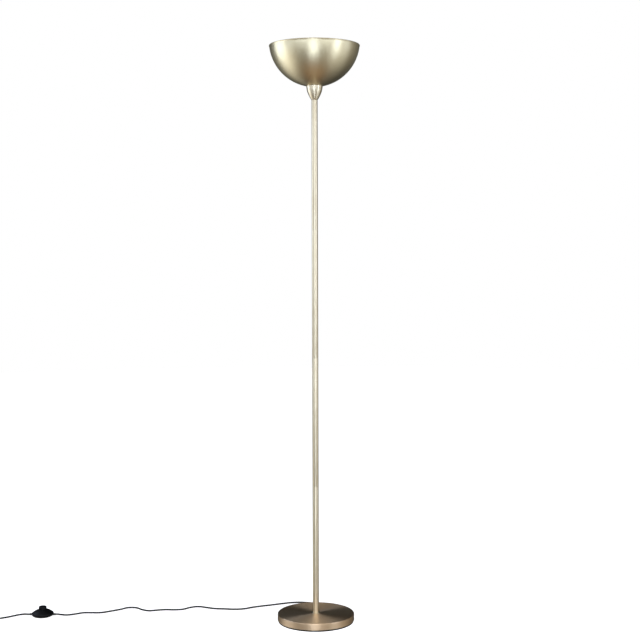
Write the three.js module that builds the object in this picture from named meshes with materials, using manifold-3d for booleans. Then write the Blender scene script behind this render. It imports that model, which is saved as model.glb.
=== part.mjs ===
// Torchiere floor lamp: a spun bowl on a four-section pole, a round weighted base, and a mains lead
// with a floor switch and a plug. Millimetres, +Z up, origin on the floor under the pole's axis.

import * as THREE from 'three';
import * as BufferGeometryUtils from 'three/addons/utils/BufferGeometryUtils.js';
import Module from 'manifold-3d';

const wasm = await Module();
wasm.setup();

// ---- driving dimensions -------------------------------------------------------------------------

const GAP = 0.3;                    // between pieces that touch
const ROUND = { large: 36, medium: 20, small: 16, tiny: 12 };   // sides of a turned piece

const THREAD = { stud: 5, bore: 4, hole: 5.3 };     // radii of the M10 x 1 hollow thread
const POLE = { radius: 9.5, bore: 8.5, foot: 20, seams: [414.5, 811.5, 1208.5], top: 1609 };
const INSERT = { radius: POLE.bore - GAP, length: 16, recess: 0.5, studLength: 13 };

const BASE = { radius: 118, height: 25, sheet: 1.2, edge: 2, skirtBottom: 4.8, hole: POLE.radius + 0.5 };
const PAD = { radius: 116.3, height: 4.5, ledge: 108, foot: 100, arch: 1.6, web: 3.2, edge: 0.6 };
const WEIGHT = { radius: 115.8, bottom: 5, top: 23.4, chamfer: 1.4, pocket: 24, pocketTop: 16.4, seat: 20 };
const FOOT_RING = { radius: 14, shoulder: 13.2, height: 1.8, edge: 0.6 };
const BASE_NUT = { acrossFlats: 16, height: 3.2, washer: 14, washerHeight: 1.2, lock: 8.8, lockHeight: 0.8 };
const BASE_STUD_TOP = 34;

const CUP = { bottom: POLE.top + GAP, floor: 3.2, rimRadius: 25.6, rim: 1652.1, wall: 1.3 };
const BOWL = { radius: 140.7, centre: 1791, wall: 1, rim: 1776, bead: 1.3 };
const BOWL_NUT = { acrossFlats: 17, height: 3.1, washer: 13, washerHeight: 1.2 };
const SOCKET = { bottom: 1658, coreBottom: 1669.5, coreTop: 1675.5, top: 1703.5, radius: 20, lining: 17.4 };
const SHELL = { inner: 13.4, outer: 14 };
const BULB = { tip: 1677.8, length: 98, radius: 27.5, capRadius: 12.9, pitch: 3.629 };

const FLEX = { radius: 2.6, floor: 2.8, bore: 2.9 };    // floor: height of the axis of a lead lying down
const GLAND = { height: 10, hole: 4.4, seam: 118, end: 146 };   // seam: where inner and outer lead meet
const SWITCH = { x: -858, y: 60, radius: 34.6, foot: 27.5, floor: 2, parting: 4.7, wall: 2 };
const BUTTON = { radius: 12.2, top: 30.2, shell: 1.8, ceiling: 28.2, flange: 14.4, flangeBottom: 14 };
const GUIDE = { halfWidth: 7, halfLength: 14.2, foot: 2.3, bottom: 8.4, top: 9.4, leg: 1.2 };
const RELIEF = { inner: 18.4, outer: 39.6, radius: 3.3, tip: 3.2, height: 5.2 };
const COIL = { x: -1045, y: -18.3, turns: [20.8, 26, 31.2], lift: 1.2 };
const PLUG = { x: COIL.x - COIL.turns[2], face: -115, width: 35, depth: 13.6, length: 33, sleeve: 22 };
const PIN = { radius: 2, length: 19, root: 7.5, spacing: 18.6 };

const LOOKS = {                     // colour, roughness, metalness
  brass: [0xb9a47c, 0.3, 1],
  steel: [0xa8a8a6, 0.4, 1],
  iron: [0x3b3a38, 0.8, 0.6],
  black: [0x1b1b20, 0.55, 0],
  flex: [0x26241f, 0.6, 0],
  ceramic: [0xd9d6cc, 0.6, 0],
  opal: [0xf4f1ea, 0.35, 0],
  nickel: [0xc4c2bb, 0.3, 1],
  nylon: [0xcfc9ba, 0.5, 0],
};

// ---- making and placing solids ------------------------------------------------------------------

const lamp = new THREE.Group();

function place(parent, name, look, geometry, x = 0, y = 0, z = 0) {
  const [color, roughness, metalness] = LOOKS[look];
  const mesh = new THREE.Mesh(geometry, new THREE.MeshStandardMaterial({ color, roughness, metalness }));
  mesh.name = name;
  mesh.position.set(x, y, z);
  parent.add(mesh);
}

// A solid turned about Z. Points are [radius, height], anticlockwise with radius to the right.
function turned(points, sides) {
  const profile = points.map(([radius, height]) => new THREE.Vector2(radius, height));
  if (profile[0].x > 0) profile.push(profile[0].clone());
  return new THREE.LatheGeometry(profile, sides).rotateX(Math.PI / 2);
}

// The same, turned about Y: points are [radius, distance along +Y].
function turnedAlongY(points, sides) {
  return turned(points, sides).rotateX(-Math.PI / 2);
}

function tube(inner, outer, bottom, top, sides) {
  return turned([[outer, bottom], [outer, top], [inner, top], [inner, bottom]], sides);
}

function rod(radius, bottom, top, sides = ROUND.tiny) {
  return turned([[0, bottom], [radius, bottom], [radius, top], [0, top]], sides);
}

// Points on an arc in the radius-height plane, angles in degrees from the outward direction.
function arc(centreRadius, centreHeight, radius, from, to, steps) {
  return Array.from({ length: steps + 1 }, (_, i) => {
    const angle = THREE.MathUtils.degToRad(from + (to - from) * i / steps);
    return [centreRadius + radius * Math.cos(angle), centreHeight + radius * Math.sin(angle)];
  });
}

// A smooth curve through [radius, height] points, lifted by a height.
function smoothProfile(points, steps, lift = 0) {
  const spline = new THREE.SplineCurve(points.map(([radius, height]) => new THREE.Vector2(radius, height)));
  return spline.getPoints(steps).map((point) => [point.x, point.y + lift]);
}

function outline(points) {
  return new THREE.Shape(points.map(([x, y]) => new THREE.Vector2(x, y)));
}

function withHole(shape, radius) {
  shape.holes.push(new THREE.Path().absarc(0, 0, radius, 0, 2 * Math.PI));
  return shape;
}

// An outline in X and Y, raised from bottom to top along Z.
function raised(shape, bottom, top) {
  const settings = { depth: top - bottom, bevelEnabled: false, curveSegments: 6 };
  return new THREE.ExtrudeGeometry(shape, settings).translate(0, 0, bottom);
}

function block(low, high) {
  const size = high.map((value, i) => value - low[i]);
  const centre = high.map((value, i) => (value + low[i]) / 2);
  return new THREE.BoxGeometry(...size).translate(...centre);
}

function regular(sides, radius, turn = 0) {
  return Array.from({ length: sides }, (_, i) => {
    const angle = 2 * Math.PI * i / sides + turn;
    return [radius * Math.cos(angle), radius * Math.sin(angle)];
  });
}

function hexNut(acrossFlats, bottom, height) {
  const shape = outline(regular(6, acrossFlats / Math.sqrt(3)));
  return raised(withHole(shape, THREAD.hole), bottom, bottom + height);
}

function washer(radius, bottom, height) {
  return tube(THREAD.hole, radius, bottom, bottom + height, ROUND.small);
}

// A round-headed screw standing on its head.
function headScrew(headRadius, headLength, shankRadius, shankLength) {
  return turned([
    [0, 0], [headRadius, 0], [headRadius, headLength], [shankRadius, headLength],
    [shankRadius, headLength + shankLength], [0, headLength + shankLength],
  ], ROUND.tiny);
}

// ---- joining and cutting ------------------------------------------------------------------------

function toSolid(geometry) {
  const bare = geometry.clone();
  bare.deleteAttribute('normal');
  bare.deleteAttribute('uv');
  const merged = BufferGeometryUtils.mergeVertices(bare, 1e-4);
  const index = merged.index.array;
  const triangles = [];
  for (let i = 0; i < index.length; i += 3) {
    const [a, b, c] = index.slice(i, i + 3);
    if (a !== b && b !== c && c !== a) triangles.push(a, b, c);
  }
  return new wasm.Manifold(new wasm.Mesh({
    numProp: 3,
    vertProperties: merged.attributes.position.array,
    triVerts: Uint32Array.from(triangles),
  }));
}

function toGeometry(solid) {
  const { vertProperties, triVerts } = solid.getMesh();
  const geometry = new THREE.BufferGeometry();
  geometry.setAttribute('position', new THREE.Float32BufferAttribute(vertProperties, 3));
  geometry.setIndex([...triVerts]);
  geometry.computeVertexNormals();
  return geometry;
}

function cut(body, ...tools) {
  return toGeometry(tools.reduce((rest, tool) => rest.subtract(toSolid(tool)), toSolid(body)));
}

function join(body, ...others) {
  return toGeometry(others.reduce((whole, other) => whole.add(toSolid(other)), toSolid(body)));
}

// ---- flexible lead ------------------------------------------------------------------------------

// A path whose sections sit exactly on its points, however unevenly the points are spaced.
class StationPath extends THREE.CatmullRomCurve3 {
  getUtoTmapping(u) {
    return u;
  }
}

function flexAlong(path, steps) {
  const section = outline(regular(8, FLEX.radius, Math.PI / 8));
  return new THREE.ExtrudeGeometry(section, { steps, extrudePath: path });
}

// The lead on the floor: one section every three diameters.
function floorFlex(points) {
  const path = new THREE.CatmullRomCurve3(points.map((point) => new THREE.Vector3(...point)));
  return flexAlong(path, Math.ceil(path.getLength() / (6 * FLEX.radius)));
}

// ---- base ---------------------------------------------------------------------------------------

function baseCover() {
  const { radius, height, sheet, edge, skirtBottom, hole } = BASE;
  const shell = turned([
    [radius, skirtBottom],
    ...arc(radius - edge, height - edge, edge, 0, 90, 3),
    [hole, height],
    [hole, height - sheet],
    ...arc(radius - edge, height - edge, edge - sheet, 90, 0, 2),
    [radius - sheet, skirtBottom],
  ], ROUND.large);
  const reach = 8;
  const glandHole = rod(GLAND.hole, radius - reach, radius + reach).rotateX(-Math.PI / 2);
  return cut(shell, glandHole.translate(0, 0, GLAND.height));
}

// The iron disc, with a central pocket for the nut and a groove to the rear for the lead.
function baseWeight() {
  const { radius, bottom, top, chamfer, pocket, pocketTop, seat } = WEIGHT;
  const disc = turned([
    [pocket, bottom], [radius - chamfer, bottom], [radius, bottom + chamfer], [radius, top - chamfer],
    [radius - chamfer, top], [BASE.hole, top], [BASE.hole, seat], [THREAD.hole, seat],
    [THREAD.hole, pocketTop], [pocket, pocketTop],
  ], ROUND.large);
  const groove = { half: 4.5, inner: pocket - 6, top: GLAND.height + 3.2 };
  const clearance = { half: 8, inner: radius - 8, top: GLAND.height + 8 };
  const slots = [groove, clearance].map((slot) => block(
    [-slot.half, slot.inner, bottom - 1],
    [slot.half, radius + 1, slot.top],
  ));
  return cut(disc, ...slots);
}

// A rubber disc that stands on a ring near its edge and is arched off the floor inside it.
function basePad() {
  const { radius, height, ledge, foot, arch, web, edge } = PAD;
  return turned([
    [0, arch], [foot, arch], [foot + 1, 0], [radius - edge, 0], [radius, edge], [radius, height],
    [ledge, height], [ledge - height + web, web], [0, web],
  ], ROUND.large);
}

// Collar through the skirt with a tapered sleeve behind it.
function cordGland() {
  const { radius, sheet } = BASE;
  const collar = { radius: 5.1, back: radius - sheet - 2.6, front: radius - sheet - 1 };
  const neck = { radius: GLAND.hole - 0.4, end: radius + 0.4 };
  const flange = { radius: 5.8, end: radius + 2.4 };
  const sleeve = { radius: 4.8, start: radius + 4.4, tip: 3.5 };
  return turnedAlongY([
    [FLEX.bore, collar.back], [collar.radius, collar.back], [collar.radius, collar.front],
    [neck.radius, collar.front], [neck.radius, neck.end], [flange.radius, neck.end],
    [flange.radius, flange.end], [sleeve.radius, sleeve.start], [sleeve.tip, GLAND.end],
    [FLEX.bore, GLAND.end],
  ], ROUND.tiny);
}

// The lead inside the lamp: in from the gland, over the pad and up through the pole.
function innerFlex() {
  const low = PAD.web + GAP + FLEX.radius;
  const bend = 7;
  const corner = arc(bend, low + bend, bend, -90, -180, 6).map(([y, z]) => new THREE.Vector3(0, y, z));
  const points = [
    new THREE.Vector3(0, GLAND.seam, GLAND.height),
    new THREE.Vector3(0, 100, GLAND.height),
    new THREE.Vector3(0, 66, GLAND.height - 1),
    new THREE.Vector3(0, 38, low + 0.6),
    new THREE.Vector3(0, 20, low),
    ...corner,
    new THREE.Vector3(0, 0, low + bend + 20),
    new THREE.Vector3(0, 0, POLE.seams[1]),
    new THREE.Vector3(0, 0, SOCKET.coreBottom - 3),
  ];
  return flexAlong(new StationPath(points), points.length - 1);
}

function footRing() {
  const { radius, shoulder, height, edge } = FOOT_RING;
  const bore = POLE.radius + GAP;
  const bottom = BASE.height + GAP;
  const top = BASE.height + height;
  return turned([
    [bore, bottom], [radius, bottom], [radius, top - edge], [shoulder, top], [bore, top],
  ], ROUND.medium);
}

function buildBase() {
  const { acrossFlats, height, washer: washerRadius, washerHeight, lock, lockHeight } = BASE_NUT;
  const washerBottom = WEIGHT.pocketTop - GAP - washerHeight;
  const lockBottom = washerBottom - GAP - lockHeight;
  const nutBottom = lockBottom - GAP - height;
  const stud = tube(THREAD.bore, THREAD.stud, nutBottom - 0.5, BASE_STUD_TOP, ROUND.small);
  place(lamp, 'base_cover', 'brass', baseCover());
  place(lamp, 'base_weight', 'iron', baseWeight());
  place(lamp, 'base_pad', 'black', basePad());
  place(lamp, 'foot_ring', 'brass', footRing());
  place(lamp, 'base_stud', 'steel', stud);
  place(lamp, 'base_washer', 'steel', washer(washerRadius, washerBottom, washerHeight));
  place(lamp, 'base_lock_washer', 'steel', washer(lock, lockBottom, lockHeight));
  place(lamp, 'base_nut', 'steel', hexNut(acrossFlats, nutBottom, height));
  place(lamp, 'cord_gland', 'black', cordGland(), 0, 0, GLAND.height);
  place(lamp, 'inner_flex', 'flex', innerFlex());
}

// ---- pole ---------------------------------------------------------------------------------------

function plainInsert(bottom) {
  return tube(THREAD.hole, INSERT.radius, bottom, bottom + INSERT.length, ROUND.tiny);
}

// An insert whose threaded stud reaches down into the section below.
function studInsert(seam) {
  const studFoot = seam - INSERT.studLength;
  const bottom = seam + GAP + INSERT.recess;
  const top = bottom + INSERT.length;
  return turned([
    [THREAD.bore, studFoot], [THREAD.stud, studFoot], [THREAD.stud, bottom],
    [INSERT.radius, bottom], [INSERT.radius, top], [THREAD.bore, top],
  ], ROUND.tiny);
}

function buildPole() {
  const ends = [POLE.foot, ...POLE.seams, POLE.top];
  for (let section = 1; section < ends.length; section += 1) {
    const [lower, upper] = [ends[section - 1], ends[section]];
    const lowest = section === 1;
    const bottom = lowest ? lower : lower + GAP;
    const wall = tube(POLE.bore, POLE.radius, bottom, upper, ROUND.medium);
    const lowerInsert = lowest ? plainInsert(bottom + INSERT.recess) : studInsert(lower);
    const upperInsert = plainInsert(upper - INSERT.recess - INSERT.length);
    place(lamp, `pole_section_${section}`, 'brass', wall);
    place(lamp, `pole_insert_${section}_lower`, 'steel', lowerInsert);
    place(lamp, `pole_insert_${section}_upper`, 'steel', upperInsert);
  }
}

// ---- head ---------------------------------------------------------------------------------------

function bowlHeight(sphere, radius) {
  return BOWL.centre - Math.sqrt(sphere ** 2 - radius ** 2);
}

// The bowl is part of a sphere, from the clamping hole up to a small rolled bead at the rim.
function bowlShade() {
  const { radius, centre, wall, rim, bead } = BOWL;
  const inner = radius - wall;
  const holeAngle = (sphere) => -THREE.MathUtils.radToDeg(Math.acos(THREAD.hole / sphere));
  const rimAngle = THREE.MathUtils.radToDeg(Math.asin((rim - bead - centre) / radius));
  const beadRadius = Math.sqrt((radius - wall / 2) ** 2 - (centre - rim) ** 2);
  return turned([
    ...arc(0, centre, radius, holeAngle(radius), rimAngle, 10),
    ...arc(beadRadius, rim, bead, -40, 200, 5),
    ...arc(0, centre, inner, rimAngle, holeAngle(inner), 10),
  ], ROUND.large);
}

// A tulip shape that swells from the pole and closes against the underside of the bowl.
function shadeCup() {
  const { bottom, floor, rimRadius, rim, wall } = CUP;
  const height = rim - bottom;
  const outer = [[POLE.radius, 0], [11.6, 2.7], [15.9, 10], [20.8, 20.8], [23.7, 30], [rimRadius, height]];
  const inner = [[rimRadius - wall, height], [22.4, 30], [19.4, 20.8], [14.4, 10.6], [10.8, 5]];
  return turned([
    ...smoothProfile(outer, 8, bottom),
    ...smoothProfile(inner, 5, bottom),
    [THREAD.hole, bottom + floor],
    [THREAD.hole, bottom],
  ], ROUND.medium);
}

function lampholderCap() {
  const { bottom, coreBottom, lining } = SOCKET;
  const neck = 8.5;
  const outer = 19.5;
  const top = coreBottom + 3;
  return turned([
    [THREAD.hole, bottom], [neck, bottom], [neck + 0.5, bottom + 3], [outer - 3, bottom + 6.5],
    [outer, bottom + 11], [outer, top], [lining + 0.1, top], [lining + 0.1, coreBottom + 1],
    [outer - 4, bottom + 9], [THREAD.hole, bottom + 6],
  ], ROUND.small);
}

function lampholderSkirt() {
  const { radius, lining, coreBottom, top } = SOCKET;
  const bottom = coreBottom + 3 + GAP;
  const lip = { height: 4, inner: 16, bevel: 1.4 };
  return turned([
    [lining, bottom], [radius, bottom], [radius, top - lip.height], [radius - lip.bevel, top],
    [lip.inner, top], [lip.inner, top - lip.height + 1], [lining, top - lip.height],
  ], ROUND.small);
}

const TERMINAL_SCREW = { offset: 9.5, head: 2.6, headLength: 1.9, shank: 1.4, shankLength: 4, below: 2.2 };

function lampholderCore() {
  const { coreBottom, coreTop, lining } = SOCKET;
  const bevel = 1.6;
  const radius = lining - 0.5;
  const core = turned([
    [0, coreBottom], [radius - bevel, coreBottom], [radius, coreBottom + bevel], [radius, coreTop],
    [0, coreTop],
  ], ROUND.small);
  const { offset, shank, shankLength } = TERMINAL_SCREW;
  const holes = [-offset, offset].map((x) => (
    rod(shank + GAP, coreBottom - 1, coreBottom + shankLength).translate(x, 0, 0)
  ));
  return cut(core, ...holes);
}

// A sprung leaf that rises from one side of the core to meet the tip of the bulb.
function lampholderContact() {
  const low = SOCKET.coreTop + GAP;
  const high = BULB.tip - GAP;
  const thickness = 0.5;
  const halfWidth = 2;
  const leaf = raised(outline([
    [-9, low], [-4, low], [2, high - thickness], [5, high - thickness], [5, high], [1.8, high],
    [-4.2, low + thickness], [-9, low + thickness],
  ]), -halfWidth, halfWidth);
  return leaf.rotateX(Math.PI / 2);
}

function buildHead() {
  const { acrossFlats, height, washer: washerRadius, washerHeight } = BOWL_NUT;
  const washerBottom = bowlHeight(BOWL.radius - BOWL.wall, washerRadius) + 0.8;
  const nutBottom = washerBottom + washerHeight + GAP;
  const nipple = tube(THREAD.bore, THREAD.stud, POLE.top - 14, SOCKET.bottom + 7.5, ROUND.tiny);
  const shell = tube(SHELL.inner, SHELL.outer, SOCKET.coreTop + GAP, SOCKET.top - 4, ROUND.medium);
  const { offset, head, headLength, shank, shankLength, below } = TERMINAL_SCREW;
  const screw = headScrew(head, headLength, shank, shankLength);
  place(lamp, 'shade_cup', 'brass', shadeCup());
  place(lamp, 'bowl_shade', 'brass', bowlShade());
  place(lamp, 'head_nipple', 'steel', nipple);
  place(lamp, 'bowl_washer', 'steel', washer(washerRadius, washerBottom, washerHeight));
  place(lamp, 'head_locknut', 'steel', hexNut(acrossFlats, nutBottom, height));
  place(lamp, 'lampholder_cap', 'black', lampholderCap());
  place(lamp, 'lampholder_skirt', 'black', lampholderSkirt());
  place(lamp, 'lampholder_core', 'ceramic', lampholderCore());
  place(lamp, 'lampholder_shell', 'brass', shell);
  place(lamp, 'lampholder_contact', 'brass', lampholderContact());
  place(lamp, 'lampholder_screw_live', 'brass', screw, -offset, 0, SOCKET.coreBottom - below);
  place(lamp, 'lampholder_screw_neutral', 'brass', screw, offset, 0, SOCKET.coreBottom - below);
}

// ---- bulb ---------------------------------------------------------------------------------------

// The screw cap: a thin shell with one rounded wave per turn of its thread.
function bulbScrewCap() {
  const { tip, capRadius, pitch } = BULB;
  const foot = tip + 5.4;
  const top = tip + 25.4;
  const turns = 4;
  const depth = 0.6;
  const wall = 1.2;
  const firstTurn = foot + 5;
  const waves = Array.from({ length: turns }, (_, i) => [
    [capRadius, firstTurn + pitch * i],
    [capRadius - depth, firstTurn + pitch * (i + 0.5)],
  ]).flat();
  return turned([
    [8.9, foot], [9.7, foot], [12.2, foot + 3.4], ...waves, [capRadius, top], [capRadius - 0.7, top],
    [capRadius - wall, top - 2.4], [capRadius - wall, foot + 4.2],
  ], ROUND.small);
}

function bulbGlass() {
  const { tip, length, radius } = BULB;
  const wall = 1;
  const neck = 11.2;
  const centre = tip + length - radius;
  const flank = [
    [neck, tip + 17], [neck, tip + 26], [13.6, tip + 31], [18.5, tip + 43], [24.6, tip + 56.5],
  ];
  const lining = flank.map(([r, z]) => [r - wall, z]).reverse();
  return turned([
    [0, centre + radius - wall],
    ...arc(0, centre, radius - wall, 75, -12, 5),
    ...lining,
    ...flank,
    ...arc(0, centre, radius, -12, 75, 5),
    [0, centre + radius],
  ], ROUND.small);
}

function bulbStem() {
  const foot = BULB.tip + 18;
  const top = foot + 52;
  return turned([
    [0, foot], [8.5, foot], [7.6, foot + 3], [3, foot + 8], [2, foot + 14], [2, top], [0, top],
  ], ROUND.tiny);
}

function buildBulb() {
  const { tip } = BULB;
  place(lamp, 'bulb_glass', 'opal', bulbGlass());
  place(lamp, 'bulb_stem', 'nylon', bulbStem());
  place(lamp, 'bulb_screw_cap', 'nickel', bulbScrewCap());
  place(lamp, 'bulb_insulator', 'black', turned([
    [0, tip + 1.6], [5, tip + 1.6], [9.3, tip + 5], [0, tip + 5],
  ], ROUND.small));
  place(lamp, 'bulb_tip_contact', 'nickel', turned([
    [0, tip], [3.6, tip], [4.6, tip + 0.6], [4.6, tip + 1.3], [0, tip + 1.3],
  ], ROUND.tiny));
}

// ---- floor switch: its own frame, centred under the button --------------------------------------

const DOME = { bottom: SWITCH.parting + GAP, hole: BUTTON.radius + 0.6 };
const CASE_SCREW = { y: 24, head: 2.6, headLength: 0.6, shank: 1.1, shankLength: 8, bottom: 0.3 };
const BOSS = { radius: 3.5, bottom: 2.6, top: 10.6, pilot: 1.4 };

// Where the lead's sleeves pass between the two halves of the housing.
function sleeveHoles() {
  const reach = SWITCH.radius + 5;
  return rod(RELIEF.radius + GAP, -reach, reach).rotateY(Math.PI / 2).translate(0, 0, RELIEF.height);
}

function switchBase() {
  const { radius, foot, floor, parting, wall } = SWITCH;
  const tray = turned([
    [0, 0], [foot, 0], [29, 0.8], [32.6, 3.1], [radius, parting], [radius - wall, parting], [29.6, 2.9],
    [28.2, floor], [0, floor],
  ], ROUND.medium);
  const pivot = rod(1.8, floor - 0.5, 7.6);
  const middle = new THREE.BoxGeometry(2 * RELIEF.inner, 20, 20);
  const entries = cut(sleeveHoles(), middle);
  const screwHoles = [-CASE_SCREW.y, CASE_SCREW.y].flatMap((y) => [
    rod(CASE_SCREW.shank + 0.4, -1, floor + 1).translate(0, y, 0),
    rod(CASE_SCREW.head + 0.4, -1, 1.2).translate(0, y, 0),
  ]);
  return cut(join(tray, pivot), entries, ...screwHoles);
}

// A shallow dome with a hole for the button and two screw bosses inside.
function switchCover() {
  const { radius, wall } = SWITCH;
  const { bottom, hole } = DOME;
  const outer = [[radius, 0], [33.2, 2.2], [30, 4.7], [26, 7.4], [20, 10.6], [hole, 13.1]];
  const inner = [[hole, 11.1], [19, 8.9], [24.6, 6.1], [28.3, 3.7], [31.2, 1.6], [radius - wall, 0]];
  const profile = [...smoothProfile(outer, 7, bottom), ...smoothProfile(inner, 6, bottom)];
  const places = [-CASE_SCREW.y, CASE_SCREW.y];
  const bosses = places.map((y) => rod(BOSS.radius, BOSS.bottom, BOSS.top).translate(0, y, 0));
  const pilots = places.map((y) => rod(BOSS.pilot, BOSS.bottom - 1, BOSS.top - 1).translate(0, y, 0));
  return cut(join(turned(profile, ROUND.medium), ...bosses), sleeveHoles(), ...pilots);
}

// A hollow button with a flange that stops it under the dome, and a stem down its middle.
function switchButton() {
  const { radius, top, shell, ceiling, flange, flangeBottom } = BUTTON;
  const flangeTop = flangeBottom + 1.2;
  const stem = { radius: 2.2, bottom: flangeBottom - 1.4 };
  const shoulder = 1.6;
  return turned([
    [0, stem.bottom], [stem.radius, stem.bottom], [stem.radius, ceiling], [radius - shell, ceiling],
    [radius - shell, flangeBottom], [flange, flangeBottom], [flange, flangeTop], [radius, flangeTop],
    ...arc(radius - shoulder - 0.3, top - shoulder, shoulder, 0, 80, 3),
    [0, top],
  ], ROUND.medium);
}

function switchSpring() {
  const wire = 0.5;
  const radius = 5.6;
  const turns = 4;
  const steps = 9 * turns;
  const bottom = GUIDE.top + GAP + wire;
  const rise = BUTTON.ceiling - GAP - wire - bottom;
  const points = Array.from({ length: steps + 1 }, (_, i) => {
    const share = i / steps;
    const angle = 2 * Math.PI * turns * share;
    return new THREE.Vector3(radius * Math.cos(angle), radius * Math.sin(angle), bottom + rise * share);
  });
  const section = outline(regular(5, wire));
  return new THREE.ExtrudeGeometry(section, { steps, extrudePath: new StationPath(points) });
}

const PIVOT_HOLE = 2.2;

// A ratchet wheel with eight saw teeth.
function switchRotor() {
  const teeth = 8;
  const [tip, root, lag] = [8.5, 6.6, 0.08];
  const points = Array.from({ length: teeth }, (_, i) => {
    const start = 2 * Math.PI * i / teeth;
    return [
      [tip * Math.cos(start), tip * Math.sin(start)],
      [root * Math.cos(start + lag), root * Math.sin(start + lag)],
    ];
  }).flat();
  return raised(withHole(outline(points), PIVOT_HOLE), 5, 8);
}

// A flat strip with a round middle, that joins the two terminals.
function contactBridge() {
  const [reach, half, middle, swell] = [11.5, 2, 3.4, 4];
  const quarter = [[middle, middle], [swell, half], [reach, half]];
  const right = [...quarter.map(([x, y]) => [x, -y]), ...quarter.reverse()];
  const left = right.map(([x, y]) => [-x, -y]);
  return raised(withHole(outline([...right, ...left]), PIVOT_HOLE), 4.1, 4.7);
}

// A bridge over the rotor that seats the spring and guides the button's stem.
function guidePlate() {
  const { halfWidth, halfLength, foot, bottom, top, leg } = GUIDE;
  const plate = block([-halfWidth, -halfLength, bottom], [halfWidth, halfLength, top]);
  const legs = [-halfLength, halfLength - leg].map((y) => (
    block([-halfWidth, y, foot], [halfWidth, y + leg, bottom + 0.4])
  ));
  return cut(join(plate, ...legs), rod(3, bottom - 1, top + 1));
}

function switchTerminal(side) {
  const size = { length: 6.5, width: 6, height: 1.5 };
  const middle = [side * 12.75, 0, 3.05];
  return new THREE.BoxGeometry(size.length, size.width, size.height).translate(...middle);
}

// A tapered sleeve moulded on the lead and held between the halves of the housing.
function switchRelief(side) {
  const { inner, outer, radius, tip, height } = RELIEF;
  const sleeve = turned([
    [FLEX.bore, inner], [radius, inner], [radius, SWITCH.radius], [tip, outer], [FLEX.bore, outer],
  ], ROUND.tiny);
  return sleeve.rotateY(side * Math.PI / 2).translate(0, 0, height);
}

function buildSwitch() {
  const housing = new THREE.Group();
  housing.position.set(SWITCH.x, SWITCH.y, 0);
  lamp.add(housing);
  place(housing, 'switch_base', 'black', switchBase());
  place(housing, 'switch_cover', 'black', switchCover());
  place(housing, 'switch_button', 'black', switchButton());
  place(housing, 'switch_return_spring', 'steel', switchSpring());
  place(housing, 'switch_rotor', 'nylon', switchRotor());
  place(housing, 'switch_contact_bridge', 'brass', contactBridge());
  place(housing, 'switch_guide_plate', 'steel', guidePlate());
  for (const [side, name] of [[-1, 'left'], [1, 'right']]) {
    place(housing, `switch_terminal_${name}`, 'brass', switchTerminal(side));
    place(housing, `switch_relief_${name}`, 'black', switchRelief(side));
  }
  const { y, head, headLength, shank, shankLength, bottom } = CASE_SCREW;
  const screw = headScrew(head, headLength, shank, shankLength);
  place(housing, 'switch_screw_front', 'steel', screw, 0, -y, bottom);
  place(housing, 'switch_screw_rear', 'steel', screw, 0, y, bottom);
}

// ---- lead on the floor, coil and plug -----------------------------------------------------------

const ALONG = FLEX.floor;
const LEAD_END = RELIEF.inner - 1.1;        // from the switch's centre to the cut end of the lead

// From the gland behind the base, round to the left and along the floor to the switch.
const TO_SWITCH = [
  [0, GLAND.seam + GAP, GLAND.height], [0, 132, GLAND.height], [0, GLAND.end, GLAND.height],
  [-0.2, 153, GLAND.height - 0.4], [-3, 166, 7.2], [-13, 181, 4], [-31, 191, ALONG], [-57, 194, ALONG],
  [-86, 189, ALONG], [-114, 178, ALONG], [-145, 164, ALONG], [-175, 152, ALONG], [-204, 138, ALONG],
  [-232, 121, ALONG], [-260, 117, ALONG], [-292, 121, ALONG], [-326, 126, ALONG], [-354, 139, ALONG],
  [-379, 148, ALONG], [-402, 139, ALONG], [-425, 118, ALONG], [-452, 113, ALONG], [-480, 115, ALONG],
  [-506, 109, ALONG], [-530, 103, ALONG], [-552, 114, ALONG], [-575, 136, ALONG], [-599, 139, ALONG],
  [-624, 119, ALONG], [-651, 100, ALONG], [-680, 84, ALONG], [-707, 83, ALONG], [-733, 83, ALONG],
  [-758, 69, ALONG], [-782, 58, 3.1], [-799, 58.5, 4.2], [-812, 60, RELIEF.height - 0.1],
  [SWITCH.x + RELIEF.outer, SWITCH.y, RELIEF.height], [SWITCH.x + 30, SWITCH.y, RELIEF.height],
  [SWITCH.x + LEAD_END, SWITCH.y, RELIEF.height],
];

// From the switch to where the lead runs into the coil.
const TO_COIL = [
  [SWITCH.x - LEAD_END, SWITCH.y, RELIEF.height], [SWITCH.x - 30, SWITCH.y, RELIEF.height],
  [SWITCH.x - RELIEF.outer, SWITCH.y, RELIEF.height], [-904, 60.1, RELIEF.height - 0.1], [-918, 63.5, 4.3],
  [-932, 61.5, 3.2], [-948, 50, ALONG], [-965, 36, ALONG], [-985, 22.5, 3.1], [-1006, 14.2, 3.6],
  [COIL.x + 20, COIL.y + COIL.turns[2], COIL.lift + FLEX.radius],
];

// From the top of the coil down to the plug.
const TO_PLUG = [
  [PLUG.x, COIL.y - 20, 8.8], [PLUG.x, COIL.y - 29, 8.1], [PLUG.x, COIL.y - 37, 7.4],
  [PLUG.x, PLUG.face + 55, PLUG.depth / 2 + GAP], [PLUG.x, PLUG.face + 49, PLUG.depth / 2 + GAP],
];

function coilSolid() {
  const inner = COIL.turns[0] - FLEX.radius;
  const outer = COIL.turns[2] + FLEX.radius;
  return tube(inner, outer, COIL.lift, COIL.lift + 4 * FLEX.radius, 24);
}

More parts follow.
